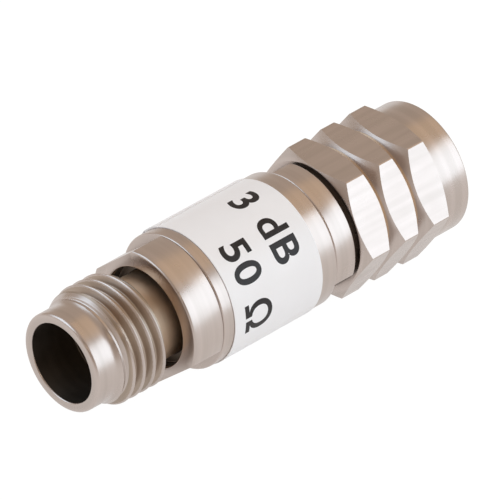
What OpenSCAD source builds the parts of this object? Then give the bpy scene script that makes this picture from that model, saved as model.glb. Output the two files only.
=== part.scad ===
// In-line coaxial attenuator: threaded jack, round labelled body, plug with a grooved hexagon nut.
// The axis runs along +X from the jack's mouth at the origin; lengths in millimetres, +Z up.

/* [Coaxial line] */
// Inside diameter of the line's outer conductor
line_d = 2.4; // [1.8:0.05:2.8]
// Diameter of the centre conductors
conductor_d = 1.04; // [0.8:0.02:1.3]
// Diameter of the plug's contact pin
pin_d = 0.511; // [0.4:0.001:0.6]
// Diameter of the insulating beads
bead_d = 4.4; // [3.8:0.1:4.8]
// Thickness of the insulating beads
bead_t = 0.9; // [0.6:0.05:1.2]
// Diameter of the centre conductors where they pass through the beads
bead_neck_d = 0.76; // [0.6:0.02:0.76]
// Length of the rings that clamp the beads
clamp_len = 2.4; // [2:0.1:2.8]

/* [Jack] */
// Diameter of the pilot bore that takes the mating plug's sleeve
pilot_d = 4.77; // [4.6:0.01:5]
// Depth of the pilot bore down to the mating plane
pilot_depth = 3; // [2:0.1:3.6]
// Wall of the plain nose round the pilot bore
nose_wall = 0.575; // [0.45:0.005:0.7]
// Length of the plain nose
nose_len = 1.4; // [0.8:0.05:1.8]
// Radius on the outer edge of the nose
lip_round = 0.2; // [0.1:0.02:0.24]
// Length of the cone that leads on to the thread
lead_len = 0.95; // [0.6:0.05:1.6]
// Major diameter of the coupling thread
thread_d = 7; // [6.6:0.05:7.2]
// Pitch of the coupling thread
thread_pitch = 0.75; // [0.5:0.05:1]
// Length of the full-diameter thread
thread_len = 2.5; // [2:0.05:4]
// Depth of the relief groove below the thread's major diameter
relief_sink = 0.95; // [0.6:0.01:1.1]
// Width of the relief groove
relief_len = 1.33; // [1:0.01:2.4]
// Drop from the body tube's surface to the jack's shoulder
shoulder_drop = 0.01; // [0:0.01:0.1]
// Length of the jack's shoulder
shoulder_len = 2.2; // [1.2:0.01:3]
// Radius on the front edge of the shoulder
shoulder_round = 0.12; // [0.1:0.02:0.4]
// Radial width of the recess in the shoulder's face, round the relief groove's floor
recess_w = 0.5; // [0.3:0.05:0.6]
// Depth of that recess
recess_depth = 0.9; // [0.4:0.05:1]
// Depth of the socket in the jack's contact
socket_depth = 1.7; // [1.4:0.1:2.2]
// Width of the slots in the jack's contact
socket_slot = 0.1; // [0.06:0.01:0.14]

/* [Wrench flats] */
// Width across the two flats on the jack's shoulder, and on the plug's collar
flats_w = 7.1; // [6.8:0.05:7.8]
// Direction of the shoulder's first flat, measured from +Y towards +Z
shoulder_flats_at = 46; // [0:1:180]
// Direction of the collar's first flat, measured from +Y towards +Z
collar_flats_at = 43; // [0:1:180]

/* [Body] */
// Outside diameter of the body tube
body_d = 8.18; // [7.8:0.02:9]
// Length of the body tube from seam to seam
body_len = 8.65; // [8:0.05:12]
// Wall of the body tube round the spigots of both connectors
tube_wall = 0.88; // [0.6:0.01:1.1]
// Length of each spigot
spigot_len = 1.8; // [1.4:0.1:2.2]
// Bevel on each edge at the seams
seam_bevel = 0.1; // [0.02:0.01:0.15]
// Edge break on the other turned edges
edge_break = 0.1; // [0.05:0.01:0.15]

/* [Label] */
// Distance from the jack's seam to the label
label_inset = 0.77; // [0.3:0.01:1.2]
// Width of the label along the body
label_len = 6.67; // [5:0.01:7]
// Thickness of the label
label_t = 0.05; // [0.03:0.01:0.15]
// Angle over which the label's end laps its start
label_lap = 16; // [6:1:40]
// Direction of the lap, measured from +Y towards +Z
label_lap_at = 40; // [0:1:360]

/* [Attenuator card] */
// Width of the card
card_w = 2.6; // [2.2:0.1:3]
// Thickness of the card
card_t = 0.38; // [0.25:0.01:0.45]
// Gap from each end of the card to the end of its carriers
card_inset = 0.1; // [0.05:0.05:0.3]
// Length over which each centre conductor grips the card
card_grip = 0.6; // [0.4:0.05:0.8]
// Width of the channel along the carriers
channel_w = 1.9; // [1.6:0.1:2.1]
// Height of the channel along the carriers
channel_h = 1.4; // [1.3:0.05:1.8]
// Free height of the disc spring
spring_h = 0.35; // [0.25:0.01:0.5]
// Thickness of the disc spring
spring_t = 0.15; // [0.1:0.01:0.2]
// Inside diameter of the disc spring
spring_in_d = 3; // [2.4:0.1:4]

/* [Plug] */
// Drop from the body tube's surface to the plug's collar
collar_drop = 0.04; // [0:0.01:0.1]
// Length of the plug's collar
collar_len = 1.47; // [1:0.01:2.4]
// Depth of the neck, which the nut turns on, below the thread's major diameter
neck_sink = 0.2; // [0.1:0.01:0.4]
// Length of the neck
neck_len = 2.75; // [2.4:0.05:3.2]
// Length of the contact sleeve beyond the pilot bore's depth
sleeve_extra = 0.9; // [0.5:0.05:1.2]
// Length of pin beyond the end of the contact sleeve
pin_out = 1.1; // [0.8:0.05:1.2]

/* [Coupling nut] */
// Wall from the thread's major diameter to the flats of the nut
nut_wall = 0.5; // [0.4:0.01:0.8]
// Length of the nut
nut_len = 8.54; // [8:0.02:10]
// Gap between the collar and the nut pulled forward
nut_gap = 0.42; // [0.4:0.01:0.6]
// Free travel of the nut along the neck
nut_float = 0.35; // [0.2:0.01:0.38]
// Angle of the chamfers on the nut's corners, from its end faces
chamfer_angle = 28; // [20:1:45]
// Drop from the flats to the edge of the rear face
face_drop = 0.07; // [0.02:0.01:0.2]
// Drop from the flats to the round front rim
rim_drop = 0.02; // [0.01:0.01:0.1]
// Length of the round front rim
rim_len = 1.9; // [1.4:0.05:2.4]
// Depth of the plain mouth ahead of the nut's thread
mouth_len = 1.1; // [0.8:0.05:1.2]
// Distance from the nut's rear face to the first groove's middle
groove_first = 2.27; // [2:0.01:2.6]
// Distance between the middles of the two grooves
groove_step = 2.25; // [1.8:0.05:2.5]
// Width of the V grooves at the nut's corners
groove_w = 1.25; // [0.8:0.05:1.5]
// Depth of the V grooves below the flats
groove_sink = 0.32; // [0.1:0.01:0.4]

/* [Retaining ring] */
// Distance from the nut's rear face to the ring's groove
ring_offset = 1; // [0.8:0.05:1.2]
// Thickness of the ring along the axis
ring_w = 0.4; // [0.3:0.02:0.5]
// Radial height of ring that stands in the nut
ring_bite = 0.26; // [0.15:0.01:0.3]
// Radial height of ring that stands in the neck
ring_seat = 0.35; // [0.25:0.01:0.5]
// Gap of the split ring
ring_gap = 36; // [20:1:60]

/* [Clearances] */
// Radial clearance of the contact sleeve in a pilot bore
pilot_clear = 0.01; // [0.005:0.005:0.03]
// Radial clearance between pieces that are fixed together
fixed_clear = 0.01; // [0.005:0.005:0.03]
// Radial clearance of the nut on the neck
neck_clear = 0.06; // [0.03:0.01:0.1]
// Clearance of the ring in its grooves
ring_clear = 0.03; // [0.02:0.01:0.05]
// Radial clearance of a mating thread in the nut's plain mouth
mouth_clear = 0.1; // [0.05:0.01:0.15]
// Radial clearance of the pin in the jack's contact
socket_clear = 0.015; // [0.01:0.005:0.03]
// Distance that the jack's contact stays behind the mating plane
contact_setback = 0.05; // [0.02:0.01:0.1]
// Room between the end of the neck and the nut's inner step
step_clear = 0.25; // [0.15:0.05:0.4]

/* [Hidden] */

$fn = 96;
// Length by which a cut runs past the face that it opens
cut_over = 1;
// Height of a basic thread, from major to minor radius, as a share of its pitch
thread_height = 0.5413;

// Stations along the axis, counted from the jack's mouth
x_lead = nose_len;
x_thread = x_lead + lead_len;
x_relief = x_thread + thread_len;
x_shoulder = x_relief + relief_len;
x_jack_seam = x_shoulder + shoulder_len;
x_jack_spigot = x_jack_seam + spigot_len;
x_plug_seam = x_jack_seam + body_len;
x_plug_spigot = x_plug_seam - spigot_len;
x_neck = x_plug_seam + collar_len;
x_sleeve = x_neck + neck_len;
x_face = x_sleeve + pilot_depth + sleeve_extra;
x_pin_tip = x_face + pin_out;
x_nut = x_neck + nut_gap;
x_nut_front = x_nut + nut_len;
x_rim = x_nut_front - rim_len;

// Bead seats: each bead lies between its seat and a clamp that ends flush with the spigot
x_jack_bead_rear = x_jack_spigot - clamp_len;
x_jack_bead = x_jack_bead_rear - bead_t;
x_plug_bead_rear = x_plug_spigot + clamp_len;
x_plug_bead = x_plug_bead_rear + bead_t;

// The card's carriers fill the room between the spigots, less the disc spring
x_holder = x_jack_spigot;
x_spring = x_plug_spigot - spring_h;
x_card = x_holder + card_inset;
x_card_end = x_spring - card_inset;

// Retaining ring, close in the nut's groove and free to travel in the neck's wider groove
x_ring_groove = x_nut + ring_offset;
x_ring = x_ring_groove + ring_clear;
x_ring_end = x_ring + ring_w;

// Radii
pilot_r = pilot_d / 2;
nose_r = pilot_r + nose_wall;
thread_r = thread_d / 2;
relief_r = thread_r - relief_sink;
recess_r = relief_r + recess_w;
body_r = body_d / 2;
shoulder_r = body_r - shoulder_drop;
collar_r = body_r - collar_drop;
tube_bore_r = body_r - tube_wall;
spigot_r = tube_bore_r - fixed_clear;
holder_r = tube_bore_r - fixed_clear;
neck_r = thread_r - neck_sink;
line_r = line_d / 2;
conductor_r = conductor_d / 2;
pin_r = pin_d / 2;
bead_r = bead_d / 2;
bead_neck_r = bead_neck_d / 2;
sleeve_r = pilot_r - pilot_clear;
nut_bore_r = neck_r + neck_clear;
nut_minor_r = thread_r - thread_height * thread_pitch;
mouth_r = thread_r + mouth_clear;
flat_r = thread_r + nut_wall;
nut_corner_r = flat_r / cos(30);
nut_face_r = flat_r - face_drop;
rim_r = flat_r - rim_drop;
groove_r = flat_r - groove_sink;
ring_out_r = nut_bore_r + ring_bite;
ring_in_r = neck_r - ring_seat;

// A turned piece: its half section is a list of [radius, x]
module turned(section) {
    rotate([0, 90, 0]) rotate_extrude() polygon(section);
}

// A cylinder along the axis between two stations
module rod(radius, x_from, x_to) {
    translate([x_from, 0, 0]) rotate([0, 90, 0]) cylinder(r = radius, h = x_to - x_from);
}

// A block centred on the axis between two stations
module bar(width, height, x_from, x_to) {
    translate([x_from, -width / 2, -height / 2]) cube([x_to - x_from, width, height]);
}

// Arc of a half section, from one angle to another about a centre
function arc(centre_r, centre_x, radius, from, to, steps = 6) =
    [for (i = [0 : steps])
        let (a = from + (to - from) * i / steps)
        [centre_r + radius * cos(a), centre_x + radius * sin(a)]];

// Two wrench flats milled across a shoulder, between two stations
module wrench_flats(direction, x_from, x_to) {
    for (side = [0, 180])
        rotate([direction + side, 0, 0]) translate([x_from, flats_w / 2, -body_d])
            cube([x_to - x_from, body_d, 2 * body_d]);
}

// Nose, lead-in cone, thread at its major diameter, relief groove, recessed shoulder with flats, spigot
module jack_shell() {
    color([0.74, 0.70, 0.67]) difference() {
        turned(concat(
            [[pilot_r, pilot_depth],
             [pilot_r, edge_break],
             [pilot_r + edge_break, 0]],
            arc(nose_r - lip_round, lip_round, lip_round, -90, 0),
            [[nose_r, x_lead],
             [thread_r, x_thread],
             [thread_r, x_relief - (thread_r - nut_minor_r) / 2],
             [nut_minor_r, x_relief],
             [relief_r, x_relief],
             [relief_r, x_shoulder + recess_depth],
             [recess_r, x_shoulder + recess_depth],
             [recess_r, x_shoulder + seam_bevel],
             [recess_r + seam_bevel, x_shoulder]],
            arc(shoulder_r - shoulder_round, x_shoulder + shoulder_round, shoulder_round, -90, 0),
            [[shoulder_r, x_jack_seam - seam_bevel],
             [shoulder_r - seam_bevel, x_jack_seam],
             [spigot_r, x_jack_seam],
             [spigot_r, x_jack_spigot - edge_break],
             [spigot_r - edge_break, x_jack_spigot],
             [bead_r, x_jack_spigot],
             [bead_r, x_jack_bead],
             [line_r, x_jack_bead],
             [line_r, pilot_depth]]));
        wrench_flats(shoulder_flats_at, x_relief, x_jack_seam + cut_over);
    }
}

// Centre conductor from its front end to the slot that grips the card, waisted at the bead
module conductor(x_from, x_to, x_bead_from, x_bead_to) {
    rod(conductor_r, x_from, x_bead_from);
    rod(bead_neck_r, x_bead_from, x_bead_to);
    rod(conductor_r, x_bead_to, x_to);
}

// Female contact: a bored and cross-slotted socket in front, a card slot behind
module jack_contact() {
    x_tip = pilot_depth + contact_setback;
    x_end = x_card + card_grip;
    color([0.86, 0.70, 0.36]) difference() {
        conductor(x_tip, x_end, x_jack_bead, x_jack_bead_rear);
        rod(pin_r + socket_clear, x_tip - cut_over, x_tip + socket_depth);
        for (turn = [0, 90])
            rotate([turn, 0, 0]) bar(socket_slot, 2 * conductor_d, x_tip - cut_over, x_tip + socket_depth);
        bar(2 * conductor_d, card_t + 2 * fixed_clear, x_card - fixed_clear, x_end + cut_over);
    }
}

// Insulating bead, moulded round the waist of its conductor
module bead(x_from, x_to) {
    turned([[bead_neck_r + fixed_clear, x_from],
            [bead_r - fixed_clear, x_from],
            [bead_r - fixed_clear, x_to],
            [bead_neck_r + fixed_clear, x_to]]);
}

module jack_bead() {
    color([0.93, 0.92, 0.88]) bead(x_jack_bead, x_jack_bead_rear);
}

module plug_bead() {
    color([0.93, 0.92, 0.88]) bead(x_plug_bead_rear, x_plug_bead);
}

// Ring that holds a bead against its seat and carries the line's bore on
module bead_clamp(x_from, x_to) {
    turned([[line_r, x_from],
            [bead_r - fixed_clear, x_from],
            [bead_r - fixed_clear, x_to],
            [line_r, x_to]]);
}

module jack_bead_clamp() {
    color([0.80, 0.77, 0.70]) bead_clamp(x_jack_bead_rear, x_jack_spigot);
}

module plug_bead_clamp() {
    color([0.80, 0.77, 0.70]) bead_clamp(x_plug_spigot, x_plug_bead_rear);
}

// Barrel between the two connectors, its edges bevelled at the seams
module body_tube() {
    color([0.74, 0.70, 0.67]) turned([
        [tube_bore_r, x_jack_seam],
        [body_r - seam_bevel, x_jack_seam],
        [body_r, x_jack_seam + seam_bevel],
        [body_r, x_plug_seam - seam_bevel],
        [body_r - seam_bevel, x_plug_seam],
        [tube_bore_r, x_plug_seam]]);
}

// One layer of the label strip, over an angle that starts at a direction
module label_layer(layer, start, angle) {
    r_in = body_r + fixed_clear + layer * label_t;
    translate([x_jack_seam + label_inset, 0, 0]) rotate([90, 0, 90]) rotate([0, 0, start])
        rotate_extrude(angle = angle) translate([r_in, 0]) square([label_t, label_len]);
}

// Strip wrapped once round the body, with its end lapped over its start
module label() {
    color([0.93, 0.92, 0.91]) {
        label_layer(0, 0, 360);
        label_layer(1, label_lap_at, label_lap);
    }
}

// Half-round carrier with its half of the channel and of the card's rebate
module card_holder(side) {
    difference() {
        rod(holder_r, x_holder, x_spring);
        translate([0, 0, -side * holder_r + side * fixed_clear])
            bar(2 * holder_r + cut_over, 2 * holder_r, x_holder - cut_over, x_spring + cut_over);
        bar(channel_w, channel_h, x_holder - cut_over, x_spring + cut_over);
        bar(card_w + 2 * fixed_clear, card_t + 2 * fixed_clear, x_card - fixed_clear, x_card_end + fixed_clear);
    }
}

module card_holder_upper() {
    color([0.78, 0.74, 0.62]) card_holder(1);
}

module card_holder_lower() {
    color([0.78, 0.74, 0.62]) card_holder(-1);
}

// Ceramic card, its edges held between the two carriers
module attenuator_card() {
    color([0.90, 0.89, 0.86]) bar(card_w, card_t, x_card, x_card_end);
}

// Conical spring: its outer edge bears on the carriers, its inner edge on the plug's clamp
module disc_spring() {
    spring_out_r = holder_r - edge_break;
    spring_in_r = spring_in_d / 2;
    color([0.60, 0.60, 0.60]) turned([
        [spring_out_r, x_spring],
        [spring_out_r, x_spring + spring_t],
        [spring_in_r, x_plug_spigot],
        [spring_in_r, x_plug_spigot - spring_t]]);
}

// Spigot, collar with flats, neck with the ring's groove, and contact sleeve in one piece
module plug_shell() {
    groove_floor_r = ring_in_r - ring_clear;
    color([0.74, 0.70, 0.67]) difference() {
        turned([
            [bead_r, x_plug_spigot],
            [spigot_r - edge_break, x_plug_spigot],
            [spigot_r, x_plug_spigot + edge_break],
            [spigot_r, x_plug_seam],
            [collar_r - seam_bevel, x_plug_seam],
            [collar_r, x_plug_seam + seam_bevel],
            [collar_r, x_neck - edge_break],
            [collar_r - edge_break, x_neck],
            [neck_r, x_neck],
            [neck_r, x_ring - nut_float - ring_clear],
            [groove_floor_r, x_ring - nut_float - ring_clear],
            [groove_floor_r, x_ring_end + ring_clear],
            [neck_r, x_ring_end + ring_clear],
            [neck_r, x_sleeve - edge_break],
            [neck_r - edge_break, x_sleeve],
            [sleeve_r, x_sleeve],
            [sleeve_r, x_face - edge_break],
            [sleeve_r - edge_break, x_face],
            [line_r, x_face],
            [line_r, x_plug_bead],
            [bead_r, x_plug_bead]]);
        wrench_flats(collar_flats_at, x_plug_seam - cut_over, x_neck + cut_over);
    }
}

// Centre conductor with a card slot behind and a round-nosed pin in front
module plug_pin() {
    x_end = x_card_end - card_grip;
    color([0.86, 0.70, 0.36]) difference() {
        union() {
            conductor(x_end, x_face, x_plug_bead_rear, x_plug_bead);
            turned(concat([[0, x_face - cut_over], [pin_r, x_face - cut_over]],
                          arc(0, x_pin_tip - pin_r, pin_r, 0, 90)));
        }
        bar(2 * conductor_d, card_t + 2 * fixed_clear, x_end - cut_over, x_card_end + fixed_clear);
    }
}

// Split ring that couples the nut to the neck
module nut_retaining_ring() {
    color([0.62, 0.60, 0.58]) translate([x_ring, 0, 0]) rotate([90, 0, 90]) rotate([0, 0, ring_gap / 2])
        rotate_extrude(angle = 360 - ring_gap)
            translate([ring_in_r, 0]) square([ring_out_r - ring_in_r, ring_w]);
}

// Half section of the nut's outside: chamfered corners, two V grooves and the round front rim
function nut_outside() = concat(
    [[nut_face_r, x_nut],
     [nut_corner_r, x_nut + (nut_corner_r - nut_face_r) * tan(chamfer_angle)]],
    [for (i = [0, 1], side = [-1, 0, 1])
        [side == 0 ? groove_r : nut_corner_r, x_nut + groove_first + i * groove_step + side * groove_w / 2]],
    [[nut_corner_r, x_rim - (nut_corner_r - rim_r) * tan(chamfer_angle)],
     [rim_r, x_rim],
     [rim_r, x_nut_front - edge_break],
     [rim_r - edge_break, x_nut_front]]);

// Half section of the nut's inside: running bore, ring groove, thread at its minor diameter, mouth
function nut_inside() =
    let (x_step = x_sleeve + nut_float + step_clear,
         x_mouth = x_nut_front - mouth_len,
         groove_out_r = ring_out_r + ring_clear,
         groove_end = x_ring_end + ring_clear)
    [[mouth_r + edge_break, x_nut_front],
     [mouth_r, x_nut_front - edge_break],
     [mouth_r, x_mouth],
     [nut_minor_r, x_mouth - (mouth_r - nut_minor_r)],
     [nut_minor_r, x_step + (nut_bore_r - nut_minor_r)],
     [nut_bore_r, x_step],
     [nut_bore_r, groove_end],
     [groove_out_r, groove_end],
     [groove_out_r, x_ring_groove],
     [nut_bore_r, x_ring_groove],
     [nut_bore_r, x_nut + edge_break],
     [nut_bore_r + edge_break, x_nut]];

// Hexagon bar, flats facing up and down, turned to the sections above
module coupling_nut() {
    color([0.76, 0.72, 0.69]) intersection() {
        translate([x_nut, 0, 0]) rotate([30, 0, 0]) rotate([0, 90, 0])
            cylinder(r = nut_corner_r, h = nut_len, $fn = 6);
        turned(concat(nut_outside(), nut_inside()));
    }
}

jack_shell();
jack_contact();
jack_bead();
jack_bead_clamp();
body_tube();
label();
card_holder_upper();
card_holder_lower();
attenuator_card();
disc_spring();
plug_shell();
plug_pin();
plug_bead();
plug_bead_clamp();
nut_retaining_ring();
coupling_nut();
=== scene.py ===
import math

import bmesh
import bpy
from mathutils import Matrix, Vector


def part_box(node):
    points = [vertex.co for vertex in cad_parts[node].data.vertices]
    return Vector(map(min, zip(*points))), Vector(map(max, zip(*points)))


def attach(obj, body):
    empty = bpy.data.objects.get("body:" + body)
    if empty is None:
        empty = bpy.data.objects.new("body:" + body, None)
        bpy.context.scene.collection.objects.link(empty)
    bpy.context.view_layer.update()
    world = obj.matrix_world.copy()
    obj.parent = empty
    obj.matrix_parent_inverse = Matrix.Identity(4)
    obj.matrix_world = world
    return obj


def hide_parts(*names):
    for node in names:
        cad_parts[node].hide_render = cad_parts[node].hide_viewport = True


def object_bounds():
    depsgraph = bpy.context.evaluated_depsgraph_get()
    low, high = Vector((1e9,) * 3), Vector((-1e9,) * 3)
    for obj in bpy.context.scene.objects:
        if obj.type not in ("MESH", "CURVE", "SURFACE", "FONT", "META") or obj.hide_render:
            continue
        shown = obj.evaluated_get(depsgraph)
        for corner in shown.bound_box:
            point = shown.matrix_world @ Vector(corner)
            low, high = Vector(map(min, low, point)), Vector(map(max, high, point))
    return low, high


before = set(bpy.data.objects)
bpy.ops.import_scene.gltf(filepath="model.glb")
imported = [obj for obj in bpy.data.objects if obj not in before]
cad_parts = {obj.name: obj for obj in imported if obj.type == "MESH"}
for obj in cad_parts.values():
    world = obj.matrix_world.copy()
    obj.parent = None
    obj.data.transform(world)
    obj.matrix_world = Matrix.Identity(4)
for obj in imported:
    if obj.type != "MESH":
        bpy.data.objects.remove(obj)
cad_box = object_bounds()

# Jack shell: the threaded female end, turned in one piece from stainless bar and pressed into the
# barrel by its spigot. The coupling thread is single-point cut, so its groove fades in on the lead-in
# cone and runs out into the relief groove.
MM = 0.001
TINY = 1e-7
TURN_STEPS = 240
CORNER_STEPS = 4
SHARP_ANGLE = math.radians(32)
# A face with this many corners is a milled flat, and is shaded flat
FLAT_CORNERS = 10
EDGE_BREAK = 0.1 * MM
SEAM_BEVEL = 0.1 * MM
FINE_BREAK = 0.03 * MM
BORE_BREAK = 0.04 * MM
TOOL_NOSE = 0.05 * MM
# A turned piece's other finishes, in their order after its plain turned one: painted shade, milled, a
# painted warm reflection, and painted shade on the thread's flanks
SHADE_PAINTED, MILLED, REFLECTION_PAINTED, FLANK_SHADE = 1, 2, 3, 4


def half_section(points):
    """Wire of a half section through (x, radius, corner) points, each corner rounded by its own radius."""
    bm = bmesh.new()
    verts = [bm.verts.new((x, radius, 0)) for x, radius, _ in points]
    for vert, follower in zip(verts, verts[1:] + verts[:1]):
        bm.edges.new((vert, follower))
    for vert, (_, _, corner) in zip(verts, points):
        if corner:
            bmesh.ops.bevel(bm, geom=[vert], offset=corner, offset_type="OFFSET", segments=CORNER_STEPS,
                            profile=0.5, affect="VERTICES", material=-1)
    return bm


def turn(bm):
    """Spins a half section once round the X axis."""
    bmesh.ops.spin(bm, geom=bm.verts[:] + bm.edges[:], cent=(0, 0, 0), axis=(1, 0, 0), dvec=(0, 0, 0),
                   angle=2 * math.pi, steps=TURN_STEPS, use_merge=True)
    bmesh.ops.remove_doubles(bm, verts=bm.verts, dist=TINY)
    bmesh.ops.recalc_face_normals(bm, faces=bm.faces)


def mill_flats(bm, distance, directions):
    """Mills flats at a distance from the axis, each facing a direction measured from +Y towards +Z."""
    for direction in directions:
        angle = math.radians(direction)
        facing = Vector((0, math.cos(angle), math.sin(angle)))
        cut = bmesh.ops.bisect_plane(bm, geom=bm.verts[:] + bm.edges[:] + bm.faces[:], dist=TINY,
                                     plane_co=facing * distance, plane_no=facing, clear_outer=True)
        rim = [item for item in cut["geom_cut"] if isinstance(item, bmesh.types.BMEdge)]
        milled = bmesh.ops.holes_fill(bm, edges=rim, sides=0)
        for face in milled["faces"]:
            face.material_index = MILLED
    bmesh.ops.recalc_face_normals(bm, faces=bm.faces)


def refinish(bm, x_from, x_to, r_from, r_to, finish):
    """Gives another of the piece's finishes to the faces between two stations and two radii."""
    for face in bm.faces:
        middle = face.calc_center_median()
        if x_from < middle.x < x_to and r_from < math.hypot(middle.y, middle.z) < r_to:
            face.material_index = finish


def finish_piece(bm, name, materials, body, slot, *nodes):
    """Makes the mesh an object with crisp edges, rides it on its body and lets it stand for its nodes."""
    for face in bm.faces:
        face.smooth = len(face.verts) < FLAT_CORNERS
    for edge in bm.edges:
        edge.smooth = edge.calc_face_angle(0) < SHARP_ANGLE
    mesh = bpy.data.meshes.new(name)
    bm.to_mesh(mesh)
    bm.free()
    for material in materials:
        mesh.materials.append(material)
    piece = bpy.data.objects.new(name, mesh)
    bpy.context.scene.collection.objects.link(piece)
    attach(piece, body)
    if nodes:
        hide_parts(*nodes)


def new_material(name):
    """A node material, its node tree and its main shader."""
    material = bpy.data.materials.new(name)
    material.use_nodes = True
    tree = material.node_tree
    return material, tree, tree.nodes["Principled BSDF"]


def set_inputs(tree, node, inputs):
    """Links a node's inputs from sockets, and sets the others to values."""
    for key, value in inputs.items():
        if isinstance(value, bpy.types.NodeSocket):
            tree.links.new(value, node.inputs[key])
        else:
            node.inputs[key].default_value = value


def add_node(tree, kind, inputs=(), **settings):
    """A new node with its settings and its inputs."""
    node = tree.nodes.new(kind)
    for key, value in settings.items():
        setattr(node, key, value)
    set_inputs(tree, node, dict(inputs))
    return node


# Tool marks lie about 0.06 mm apart, in bands of about 0.5 mm, under clouds of a few millimetres
MARK_SCALE = 16000.0
BAND_SCALE = 2200.0
CLOUD_SCALE = 420.0
MILL_STRETCH = (0.05, 1, 1)
# The part of a noise's range that its values fill
NOISE_LOW = 0.3
NOISE_HIGH = 0.7


def noise(tree, place, scale, detail, roughness=0.5):
    """Factor of a noise at a place."""
    node = add_node(tree, "ShaderNodeTexNoise", {"Vector": place, "Scale": scale, "Detail": detail,
                                                 "Roughness": roughness})
    return node.outputs["Fac"]


def two_tones(tree, factor, dull, bright):
    """Colour that goes from one tone to another with a noise."""
    tone = add_node(tree, "ShaderNodeValToRGB", {"Fac": factor})
    low, high = tone.color_ramp.elements
    low.position = NOISE_LOW
    low.color = (*dull, 1)
    high.position = NOISE_HIGH
    high.color = (*bright, 1)
    return tone.outputs["Color"]


def cloudy_gloss(tree, factor, roughness, spread):
    """Roughness that rises and falls with a noise by a share of itself."""
    gloss = add_node(tree, "ShaderNodeMapRange", {"Value": factor, "From Min": NOISE_LOW,
                                                  "From Max": NOISE_HIGH,
                                                  "To Min": roughness * (1 - spread),
                                                  "To Max": roughness * (1 + spread)})
    return gloss.outputs["Result"]


def fine_relief(tree, height, depth):
    """Normal of a surface whose noise is this deep."""
    bump = add_node(tree, "ShaderNodeBump", {"Height": height, "Strength": 1.0, "Distance": depth})
    return bump.outputs["Normal"]


def tooled_metal(name, dull, bright, roughness, mark_depth, milled=False):
    """Metal with tool marks: turned ones run round the axis, read at (x, radius), milled ones along it."""
    material, tree, shader = new_material(name)
    place = add_node(tree, "ShaderNodeTexCoord").outputs["Object"]
    if milled:
        path = add_node(tree, "ShaderNodeVectorMath", {0: place, 1: MILL_STRETCH}, operation="MULTIPLY")
    else:
        along = add_node(tree, "ShaderNodeSeparateXYZ", {"Vector": place}).outputs["X"]
        across = add_node(tree, "ShaderNodeVectorMath", {0: place, 1: (0, 1, 1)}, operation="MULTIPLY")
        radius = add_node(tree, "ShaderNodeVectorMath", {0: across.outputs["Vector"]}, operation="LENGTH")
        path = add_node(tree, "ShaderNodeCombineXYZ", {"X": along, "Y": radius.outputs["Value"]})
    marks = noise(tree, path.outputs["Vector"], MARK_SCALE, detail=4.0, roughness=0.65)
    bands = noise(tree, path.outputs["Vector"], BAND_SCALE, detail=2.0)
    cloud = noise(tree, place, CLOUD_SCALE, detail=3.0)
    set_inputs(tree, shader, {
        "Base Color": two_tones(tree, bands, dull, bright),
        "Metallic": 1.0,
        "Roughness": cloudy_gloss(tree, cloud, roughness, spread=0.15),
        "Normal": fine_relief(tree, marks, mark_depth)})
    return material


# One steel in five finishes: turned outside, with painted shade darkening the bores, a painted warm
# reflection and a duller gloss in the grooves, painted shade on the thread's flanks, and milled on the flats
STEEL_DULL = (0.49, 0.42, 0.38)
STEEL_BRIGHT = (0.55, 0.47, 0.43)
jack_steel = tooled_metal("turned_stainless", STEEL_DULL, STEEL_BRIGHT, 0.3, 1.6e-6)
# Painted shade: a near-black base colour darkens bores, deep recesses and hidden surfaces; only the higher
# roughness is the bored finish
shade_painted_steel = tooled_metal("shade_painted_stainless", (0.14, 0.115, 0.095), (0.18, 0.15, 0.125), 0.45, 1.2e-6)
# Painted reflection: a warm golden base colour stands in for light bounced between the groove walls; the
# higher roughness is the rough-turned finish
reflection_painted_steel = tooled_metal("reflection_painted_stainless", (0.60, 0.455, 0.33), (0.70, 0.545, 0.41), 0.42, 2.4e-6)
# Painted shade: a darker base colour on the thread's flanks stands in for the shade between the crests
flank_shade_steel = tooled_metal("flank_shade_stainless", (0.34, 0.27, 0.215), (0.44, 0.35, 0.285), 0.36, 2.4e-6)
milled_steel = tooled_metal("milled_stainless", STEEL_DULL, STEEL_BRIGHT, 0.28, 1.1e-6, milled=True)

pilot_r = 2.385 * MM
pilot_depth = 3.0 * MM
nose_r = pilot_r + 0.575 * MM
lip_round = 0.2 * MM
lead_round = 0.15 * MM
cone_round = 0.08 * MM
x_lead = 1.4 * MM
x_thread = x_lead + 0.95 * MM
thread_r = 3.5 * MM
thread_pitch = 0.75 * MM
x_relief = x_thread + 2.5 * MM
thread_root_r = thread_r - 0.406 * MM
relief_r = thread_r - 0.95 * MM
relief_round = 0.1 * MM
x_shoulder = x_relief + 1.33 * MM
shoulder_round = 0.12 * MM
recess_r = relief_r + 0.5 * MM
x_recess = x_shoulder + 0.9 * MM
# Deeper than this the recess's wall gets painted shade, a dark base colour, and a duller gloss
x_shade_painted = x_shoulder + 0.35 * MM
# The flanks' painted shade starts this far before the full thread, and this far below the crests
flank_start = 0.3 * MM
crest_depth = 0.1 * MM
shoulder_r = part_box("jack_shell")[1].z
x_jack_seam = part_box("body_tube")[0].x
x_jack_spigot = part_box("jack_shell")[1].x
spigot_r = 3.2 * MM
bead_r = 2.2 * MM
line_r = 1.2 * MM
x_jack_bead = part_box("jack_bead")[0].x
wrench_flat_r = 3.55 * MM
shoulder_flats = (46, 226)

# Thread form: a 60 degree V with a narrow flat crest, its corners a little rounded by the tool
CREST_HALF = thread_pitch / 18
FLANK_SLOPE = math.tan(math.radians(60))
GROOVE_DEPTH = 0.43 * MM
THREAD_STEP = 0.0135 * MM
THREAD_ROUND = 0.06 * MM
# A groove passes this place, seen from the jack's front left
groove_x = 4.04 * MM
groove_angle = math.radians(136)


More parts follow.
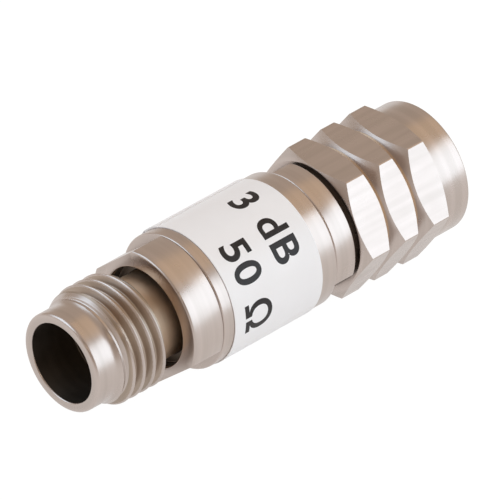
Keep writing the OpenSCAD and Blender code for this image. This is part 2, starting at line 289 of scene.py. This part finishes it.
def thread_depth(x, angle):
    """Depth of the right-hand thread's groove below its crest at a place on the cylinder."""
    turns = (x - groove_x) / thread_pitch - (angle - groove_angle) / (2 * math.pi)
    from_crest = abs((turns % 1) - 0.5) * thread_pitch
    depth = (from_crest - CREST_HALF) * FLANK_SLOPE
    at_crest = max(THREAD_ROUND - abs(depth), 0)
    at_root = max(THREAD_ROUND - abs(depth - GROOVE_DEPTH), 0)
    rounding = (at_crest ** 2 - at_root ** 2) / (4 * THREAD_ROUND)
    return min(max(depth, 0), GROOVE_DEPTH) + rounding


def subdivide_for_thread(bm, x_from, x_to, r_from, r_to):
    """Cuts a section's lines between two stations and radii finely enough to carry a thread."""
    for edge in bm.edges[:]:
        inside = [x_from - TINY <= v.co.x <= x_to + TINY and r_from <= v.co.y <= r_to for v in edge.verts]
        if all(inside):
            bmesh.ops.subdivide_edges(bm, edges=[edge], cuts=int(edge.calc_length() / THREAD_STEP))


def cut_thread(bm, x_from, x_to, r_from, r_to, limit):
    """Moves points between two stations and radii to the thread; limit is min outside and max inside."""
    for vert in bm.verts:
        radius = math.hypot(vert.co.y, vert.co.z)
        if x_from < vert.co.x < x_to and r_from < radius < r_to:
            angle = math.atan2(vert.co.z, vert.co.y)
            cut_r = limit(radius, thread_r - thread_depth(vert.co.x, angle))
            vert.co.yz = vert.co.yz * (cut_r / radius)


jack = half_section([
    (0, pilot_r, EDGE_BREAK),
    (0, nose_r, lip_round),
    (x_lead, nose_r, lead_round),
    (x_thread, thread_r, cone_round),
    (x_relief - (thread_r - thread_root_r) / 2, thread_r, TOOL_NOSE),
    (x_relief, thread_root_r, FINE_BREAK),
    (x_relief, relief_r, relief_round),
    (x_recess, relief_r, TOOL_NOSE),
    (x_recess, recess_r, TOOL_NOSE),
    (x_shade_painted, recess_r, 0),
    (x_shoulder, recess_r, SEAM_BEVEL),
    (x_shoulder, shoulder_r, shoulder_round),
    (x_jack_seam, shoulder_r, SEAM_BEVEL),
    (x_jack_seam, spigot_r, 0),
    (x_jack_spigot, spigot_r, EDGE_BREAK),
    (x_jack_spigot, bead_r, 0),
    (x_jack_bead, bead_r, 0),
    (x_jack_bead, line_r, 0),
    (pilot_depth, line_r, BORE_BREAK),
    (pilot_depth, pilot_r, FINE_BREAK)])
subdivide_for_thread(jack, x_lead, x_relief, nose_r - TINY, thread_r + TINY)
turn(jack)
cut_thread(jack, x_lead, x_relief, nose_r, thread_r + TINY, min)
mill_flats(jack, wrench_flat_r, shoulder_flats)
# Painted shade darkens the thread's flanks
refinish(jack, x_thread - flank_start, x_relief, pilot_r, thread_r - crest_depth, FLANK_SHADE)
# A painted warm reflection on the recess's mouth
refinish(jack, x_shoulder + SEAM_BEVEL, x_recess + TINY, pilot_r, recess_r + TINY, REFLECTION_PAINTED)
# Painted shade darkens the recess's deep wall
refinish(jack, x_shade_painted, x_recess + TINY, pilot_r, recess_r + TINY, SHADE_PAINTED)
# A painted warm reflection on the relief groove's floor
refinish(jack, x_relief, x_recess - relief_round, pilot_r, relief_r + TINY, REFLECTION_PAINTED)
# Painted shade darkens the jack's bore
refinish(jack, EDGE_BREAK, x_jack_spigot, 0, pilot_r, SHADE_PAINTED)
finish_piece(jack, "threaded_jack", (jack_steel, shade_painted_steel, milled_steel, reflection_painted_steel, flank_shade_steel),
             "body", "steel", "jack_shell")

# Centre contacts: the jack's slotted socket and the plug's round-nosed pin, turned from a spring
# copper alloy and plated with gold. Each is gripped by its bead and by the card inside.


def dress(node, material):
    """Gives a CAD piece its finish."""
    for slot in bpy.data.objects[node].material_slots:
        slot.material = material


gold = tooled_metal("gold_plate", (0.84, 0.58, 0.22), (0.90, 0.66, 0.29), 0.22, 4e-7)
dress("jack_contact", gold)
dress("plug_pin", gold)

# Beads and clamps: each centre contact runs through a moulded insulating bead, and a pressed-in
# ring of plated brass holds the bead against its seat in the shell.
GRAIN_RATIO = 12


def cast_finish(name, dark, light, scale, roughness, grain_depth):
    """A finish with small cloudy changes of tone and gloss, and a fine grain."""
    material, tree, shader = new_material(name)
    place = add_node(tree, "ShaderNodeTexCoord").outputs["Object"]
    cloud = noise(tree, place, scale, detail=4.0)
    grain = noise(tree, place, scale * GRAIN_RATIO, detail=3.0)
    set_inputs(tree, shader, {
        "Base Color": two_tones(tree, cloud, dark, light),
        "Roughness": cloudy_gloss(tree, cloud, roughness, spread=0.1),
        "Normal": fine_relief(tree, grain, grain_depth)})
    return material


bead_polymer = cast_finish("bead_polymer", (0.80, 0.77, 0.70), (0.86, 0.83, 0.77), 900.0, 0.42, 6e-7)
clamp_plate = tooled_metal("clamp_plate", (0.58, 0.54, 0.45), (0.64, 0.60, 0.51), 0.3, 6e-7)
dress("jack_bead", bead_polymer)
dress("plug_bead", bead_polymer)
dress("jack_bead_clamp", clamp_plate)
dress("plug_bead_clamp", clamp_plate)

# Attenuator card, its two half-round carriers and the disc spring that loads them: all sealed in the
# barrel. The card is fired ceramic with a resistive film, the carriers are milled aluminium with a
# pale yellow conversion coat.
carrier_alloy = tooled_metal("carrier_alloy", (0.55, 0.49, 0.33), (0.61, 0.55, 0.39), 0.32, 8e-7,
                             milled=True)
card_ceramic = cast_finish("card_ceramic", (0.78, 0.77, 0.74), (0.86, 0.85, 0.83), 1500.0, 0.5, 8e-7)
spring_steel = tooled_metal("spring_steel", (0.42, 0.41, 0.40), (0.50, 0.49, 0.48), 0.3, 6e-7)
dress("card_holder_upper", carrier_alloy)
dress("card_holder_lower", carrier_alloy)
dress("attenuator_card", card_ceramic)
dress("disc_spring", spring_steel)

# Barrel: a stainless tube that takes the spigots of both connectors, each end butting against a
# shoulder with its edges just broken, so that a fine seam shows.
body_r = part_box("body_tube")[1].z
x_plug_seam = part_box("body_tube")[1].x
tube_bore_r = body_r - 0.88 * MM
barrel = half_section([
    (x_jack_seam, tube_bore_r, 0),
    (x_jack_seam, body_r, SEAM_BEVEL),
    (x_plug_seam, body_r, SEAM_BEVEL),
    (x_plug_seam, tube_bore_r, 0)])
turn(barrel)
finish_piece(barrel, "barrel", (jack_steel,), "body", "steel", "body_tube")

# Plug shell: the male end, turned in one piece: spigot, collar, the neck that the nut turns on with
# its groove for the retaining ring, and the thin contact sleeve that enters a jack's bore.
x_plug_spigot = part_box("plug_shell")[0].x
x_neck = x_plug_seam + 1.47 * MM
x_sleeve = x_neck + 2.75 * MM
x_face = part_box("plug_shell")[1].x
x_plug_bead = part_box("plug_bead")[1].x
collar_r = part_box("plug_shell")[1].z
collar_flats = (43, 223)
neck_r = thread_r - 0.2 * MM
sleeve_r = pilot_r - 0.01 * MM
ring_low, ring_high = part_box("nut_retaining_ring")
ring_clear = 0.03 * MM
nut_float = 0.35 * MM
ring_groove_r = neck_r - 0.38 * MM
plug = half_section([
    (x_plug_spigot, bead_r, 0),
    (x_plug_spigot, spigot_r, EDGE_BREAK),
    (x_plug_seam, spigot_r, 0),
    (x_plug_seam, collar_r, SEAM_BEVEL),
    (x_neck, collar_r, EDGE_BREAK),
    (x_neck, neck_r, 0),
    (ring_low.x - nut_float - ring_clear, neck_r, 0),
    (ring_low.x - nut_float - ring_clear, ring_groove_r, 0),
    (ring_high.x + ring_clear, ring_groove_r, 0),
    (ring_high.x + ring_clear, neck_r, 0),
    (x_sleeve, neck_r, EDGE_BREAK),
    (x_sleeve, sleeve_r, 0),
    (x_face, sleeve_r, EDGE_BREAK),
    (x_face, line_r, BORE_BREAK),
    (x_plug_bead, line_r, 0),
    (x_plug_bead, bead_r, 0)])
turn(plug)
mill_flats(plug, wrench_flat_r, collar_flats)
# Painted shade darkens the neck and sleeve inside the nut
refinish(plug, x_neck - TINY, x_sleeve, bead_r, collar_r - EDGE_BREAK, SHADE_PAINTED)
finish_piece(plug, "plug_body", (jack_steel, shade_painted_steel, milled_steel), "body", "steel", "plug_shell")

# Retaining ring: a split ring of spring steel, closed into the neck's groove while the nut is pushed
# over it, then sprung out into the nut's own groove.
dress("nut_retaining_ring", spring_steel)

# Coupling nut: hexagon bar of stainless steel, turned to a round front rim, with chamfered corners and
# two V grooves that leave three lands on each flat, then bored, grooved and threaded inside.
nut_low, nut_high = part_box("coupling_nut")
x_nut = nut_low.x
x_nut_front = nut_high.x
flat_r = nut_high.z
corner_r = flat_r / math.cos(math.radians(30)) - 0.02 * MM
chamfer = math.tan(math.radians(28))
nut_face_r = flat_r - 0.07 * MM
rim_r = flat_r - 0.02 * MM
x_rim = x_nut_front - 1.9 * MM
groove_root_r = flat_r - 0.32 * MM
groove_half = 0.625 * MM
root_round = 0.06 * MM
# Height of the V grooves' root, which has a duller gloss and a painted warm reflection
root_rise = 0.15 * MM
root_half = groove_half * root_rise / (corner_r - groove_root_r)
groove_middles = [x_nut + 2.27 * MM, x_nut + 4.52 * MM]
nut_bore_r = neck_r + 0.06 * MM
# Depth of the nut's thread, 5/8 of the sharp V's height
nut_minor_r = thread_r - 0.5413 * thread_pitch
mouth_r = thread_r + 0.1 * MM
x_mouth = x_nut_front - 1.1 * MM
x_step = x_sleeve + nut_float + 0.25 * MM
ring_out_r = nut_bore_r + 0.29 * MM
nut_flats = range(30, 390, 60)

nut_steel = tooled_metal("nut_stainless", STEEL_DULL, STEEL_BRIGHT, 0.28, 1.2e-6)
outside = [
    (x_nut, nut_face_r, FINE_BREAK),
    (x_nut + (corner_r - nut_face_r) * chamfer, corner_r, 0)]
for middle in groove_middles:
    outside += [
        (middle - groove_half, corner_r, 0),
        (middle - root_half, groove_root_r + root_rise, 0),
        (middle, groove_root_r, root_round),
        (middle + root_half, groove_root_r + root_rise, 0),
        (middle + groove_half, corner_r, 0)]
outside += [
    (x_rim - (corner_r - rim_r) * chamfer, corner_r, 0),
    (x_rim, rim_r, 0),
    (x_nut_front, rim_r, EDGE_BREAK)]
inside = [
    (x_nut_front, mouth_r, EDGE_BREAK),
    (x_mouth, mouth_r, 0),
    (x_mouth - (mouth_r - nut_minor_r), nut_minor_r, 0),
    (x_step + (nut_bore_r - nut_minor_r), nut_minor_r, 0),
    (x_step, nut_bore_r, 0),
    (ring_high.x + ring_clear, nut_bore_r, 0),
    (ring_high.x + ring_clear, ring_out_r, 0),
    (ring_low.x - ring_clear, ring_out_r, 0),
    (ring_low.x - ring_clear, nut_bore_r, 0),
    (x_nut, nut_bore_r, EDGE_BREAK)]
nut = half_section(outside + inside)
subdivide_for_thread(nut, x_step, x_mouth, nut_minor_r - TINY, mouth_r + TINY)
turn(nut)
cut_thread(nut, x_step, x_mouth, 0, mouth_r, max)
mill_flats(nut, flat_r, nut_flats)
# Painted shade darkens the nut's bore and thread
refinish(nut, x_nut - TINY, x_mouth, 0, nut_bore_r, SHADE_PAINTED)
# A painted warm reflection on the V grooves' roots
refinish(nut, x_nut + groove_half, x_rim, ring_out_r + TINY, groove_root_r + root_rise, REFLECTION_PAINTED)
finish_piece(nut, "hexagon_nut", (nut_steel, shade_painted_steel, milled_steel, reflection_painted_steel), "nut", "nut_steel",
             "coupling_nut")

# Label: a strip of white polyester film with a satin laminate, wrapped once round the barrel, its end
# lapped over its start on the far side.
label_low, label_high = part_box("label")
film_t = 0.05 * MM
film_r = body_r + 0.01 * MM
film_start = math.radians(40)
film_lap = math.radians(16)
film_rise = math.radians(5)
film_angle = 2 * math.pi + film_lap
film_len = film_r * film_angle


def wrap(bm):
    """Bends flat film, x along the barrel and y round it, on to the barrel, and lifts its end at the lap."""
    for vert in bm.verts:
        x, along, height = vert.co
        angle = along / film_r
        climb = min(max((angle - 2 * math.pi + film_rise) / film_rise, 0), 1)
        radius = film_r + height + film_t * climb * climb * (3 - 2 * climb)
        around = film_start + angle
        vert.co = (x, radius * math.cos(around), radius * math.sin(around))


label_white, label_tree, label_shader = new_material("label_film")
label_place = add_node(label_tree, "ShaderNodeTexCoord").outputs["Object"]
label_cloud = noise(label_tree, label_place, 500.0, detail=3.0)
label_grain = noise(label_tree, label_place, 9000.0, detail=3.0)
set_inputs(label_tree, label_shader, {
    "Base Color": two_tones(label_tree, label_cloud, (0.885, 0.868, 0.878), (0.905, 0.89, 0.90)),
    "Roughness": 0.38,
    "Specular IOR Level": 0.5,
    "Normal": fine_relief(label_tree, label_grain, 4e-7)})

film = bmesh.new()
bmesh.ops.create_cube(film, size=1)
film_width = label_high.x - label_low.x
bmesh.ops.scale(film, vec=(film_width, film_len, film_t), verts=film.verts)
bmesh.ops.translate(film, vec=(label_low.x + film_width / 2, film_len / 2, film_t / 2), verts=film.verts)
lengthwise = [e for e in film.edges if abs(e.verts[0].co.y - e.verts[1].co.y) > film_len / 2]
bmesh.ops.subdivide_edges(film, edges=lengthwise, cuts=TURN_STEPS, use_grid_fill=True)
wrap(film)
bmesh.ops.recalc_face_normals(film, faces=film.faces)
finish_piece(film, "label_film", (label_white,), "body", "label", "label")

# Print: the rating in plain bold figures, thermal-transferred on to the film, read round the barrel
# with the tops of the figures towards the plug.
INK_T = 0.004 * MM
FIGURE_STEP = 0.2 * MM
# Height of a figure as a share of the font's size
FIGURE_SHARE = 0.7
figure_height = 1.8 * MM
figure_weight = 0.05 * MM
figure_space = 1.08
print_ink = cast_finish("print_ink", (0.012, 0.009, 0.009), (0.022, 0.017, 0.017), 2500.0, 0.42, 4e-7)
print_ink.node_tree.nodes["Principled BSDF"].inputs["Specular IOR Level"].default_value = 0.3


def print_line(name, words, x_foot, around_end):
    """Lays a line of figures on the film: its foot at a station, its end at an angle round the barrel."""
    text = bpy.data.curves.new(name, "FONT")
    text.body = words
    text.size = figure_height / FIGURE_SHARE
    text.offset = figure_weight
    text.space_character = figure_space
    lettering = bpy.data.objects.new(name, text)
    flat = bpy.data.meshes.new_from_object(lettering)
    bpy.data.objects.remove(lettering)
    ink = bmesh.new()
    ink.from_mesh(flat)
    bmesh.ops.remove_doubles(ink, verts=ink.verts, dist=TINY)
    length = max(v.co.x for v in ink.verts)
    for count in range(1, int(length / FIGURE_STEP) + 1):
        bmesh.ops.bisect_plane(ink, geom=ink.verts[:] + ink.edges[:] + ink.faces[:], dist=TINY,
                               plane_co=(count * FIGURE_STEP, 0, 0), plane_no=(1, 0, 0))
    end_along = (around_end - film_start) * film_r
    for vert in ink.verts:
        vert.co = (x_foot + vert.co.y, end_along - length + vert.co.x, film_t + INK_T)
    lower = bmesh.ops.extrude_face_region(ink, geom=ink.faces[:])
    sunk = [item for item in lower["geom"] if isinstance(item, bmesh.types.BMVert)]
    bmesh.ops.translate(ink, vec=(0, 0, -INK_T), verts=sunk)
    wrap(ink)
    bmesh.ops.recalc_face_normals(ink, faces=ink.faces)
    finish_piece(ink, name, (print_ink,), "body", "label")


print_line("rating_figures", "3 dB", 12.95 * MM, math.radians(150))
print_line("impedance_figures", "50 Ω", 10.0 * MM, math.radians(190))

# Studio: a white floor in a warm pale room. Cool softboxes stand to the right of the lens and behind the
# part, a dim warm panel hangs overhead, and a small warm lamp shines from behind the lens, in front of a
# brown card that keeps the bores dark.
FLOOR_GLOW = 1.08
FLOOR_SEEN = 0.9
FLOOR_MIRRORED = 0.7
# Watts that give one square metre of a lamp a radiance of one
WATTS_FOR_RADIANCE = 4
aim = Vector((0.0137, 0, 0))
floor_size = 8.0
card_size = 0.55
card_distance = 0.85


def floor_material():
    """White paper: plain white to the lens and in the metal, with a soft shadow left on it."""
    material, tree, shader = new_material("white_floor")
    set_inputs(tree, shader, {"Base Color": (0.9, 0.9, 0.9, 1), "Roughness": 0.9, "Specular IOR Level": 0.0})
    ray = add_node(tree, "ShaderNodeLightPath").outputs
    mirrored = add_node(tree, "ShaderNodeMath", {0: ray["Is Glossy Ray"], 1: ray["Is Transmission Ray"]},
                        operation="MAXIMUM")
    dimmed = add_node(tree, "ShaderNodeMath", {0: mirrored.outputs[0], 1: FLOOR_MIRRORED},
                      operation="MULTIPLY")
    direct = add_node(tree, "ShaderNodeMath", {0: ray["Is Camera Ray"], 1: FLOOR_SEEN}, operation="MULTIPLY")
    share = add_node(tree, "ShaderNodeMath", {0: direct.outputs[0], 1: dimmed.outputs[0]},
                     operation="MAXIMUM")
    white = add_node(tree, "ShaderNodeEmission", {"Color": (1, 1, 1, 1), "Strength": FLOOR_GLOW})
    mix = add_node(tree, "ShaderNodeMixShader", {0: share.outputs[0], 1: shader.outputs["BSDF"],
                                                 2: white.outputs["Emission"]})
    tree.links.new(mix.outputs[0], tree.nodes["Material Output"].inputs["Surface"])
    return material


def card_material():
    """Matt dark brown card."""
    material, tree, shader = new_material("dark_card")
    set_inputs(tree, shader, {"Base Color": (0.16, 0.11, 0.07, 1), "Roughness": 1.0,
                              "Specular IOR Level": 0.0})
    return material


def board(name, size, material):
    """A flat square board of the studio."""
    bm = bmesh.new()
    bmesh.ops.create_grid(bm, x_segments=1, y_segments=1, size=size / 2)
    mesh = bpy.data.meshes.new(name)
    bm.to_mesh(mesh)
    bm.free()
    mesh.materials.append(material)
    made = bpy.data.objects.new(name, mesh)
    bpy.context.scene.collection.objects.link(made)
    return made


def lamp(name, direction, distance, width, height, radiance):
    """A rectangular panel of even radiance that faces the part from a direction."""
    light = bpy.data.lights.new(name, "AREA")
    light.shape = "RECTANGLE"
    light.size = width
    light.size_y = height
    strength = max(radiance)
    light.color = [value / strength for value in radiance]
    light.energy = WATTS_FOR_RADIANCE * width * height * strength
    made = bpy.data.objects.new(name, light)
    toward = Vector(direction).normalized()
    made.location = aim + toward * distance
    made.rotation_euler = toward.to_track_quat("Z", "Y").to_euler()
    bpy.context.scene.collection.objects.link(made)


floor = board("floor", floor_size, floor_material())
floor.location.z = cad_box[0].z
card = board("dark_card", card_size, card_material())
card_way = Vector((-0.567, -0.570, 0.595)).normalized()
card.location = aim + card_way * card_distance
card.rotation_euler = card_way.to_track_quat("Z", "Y").to_euler()
card.visible_camera = False
lamp("softbox", (0.567, -0.745, 0.30), 0.65, 0.75, 0.62, (1.04, 1.32, 1.56))
lamp("overhead", (0.567, -0.057, 0.822), 0.7, 0.6, 0.5, (0.2, 0.13, 0.05))
lamp("back_softbox", (-0.55, 0.55, 0.63), 0.75, 0.7, 0.6, (0.75, 1.05, 1.35))
lamp("lens_lamp", (-0.567, -0.575, 0.59), 0.75, 0.035, 0.035, (40, 34, 27))

world = bpy.data.worlds.new("pale_room")
world.use_nodes = True
world.node_tree.nodes["Background"].inputs["Color"].default_value = (0.63, 0.545, 0.47, 1)
bpy.context.scene.world = world

# Camera: level but for a slight roll, it looks down on the jack's front left through a long lens, from
# a place fitted to the turned edges and to the nut's corners.
camera_data = bpy.data.cameras.new("camera")
camera_data.lens = 541.1
camera_data.sensor_width = 36.0
camera_data.clip_start = 0.01
camera_data.clip_end = 20.0
camera = bpy.data.objects.new("camera", camera_data)
right = Vector((0.7211, -0.6924, 0.0230))
forward = Vector((0.5666, 0.5704, -0.5946)).normalized()
up = right.cross(forward).normalized()
right = forward.cross(up)
camera_place = Vector((-0.2214, -0.2372, 0.2479))
camera_turn = Matrix((right, up, -forward)).transposed().to_4x4()
camera.matrix_world = Matrix.Translation(camera_place) @ camera_turn
bpy.context.scene.collection.objects.link(camera)
bpy.context.scene.camera = camera
bpy.context.scene.view_settings.view_transform = "Standard"
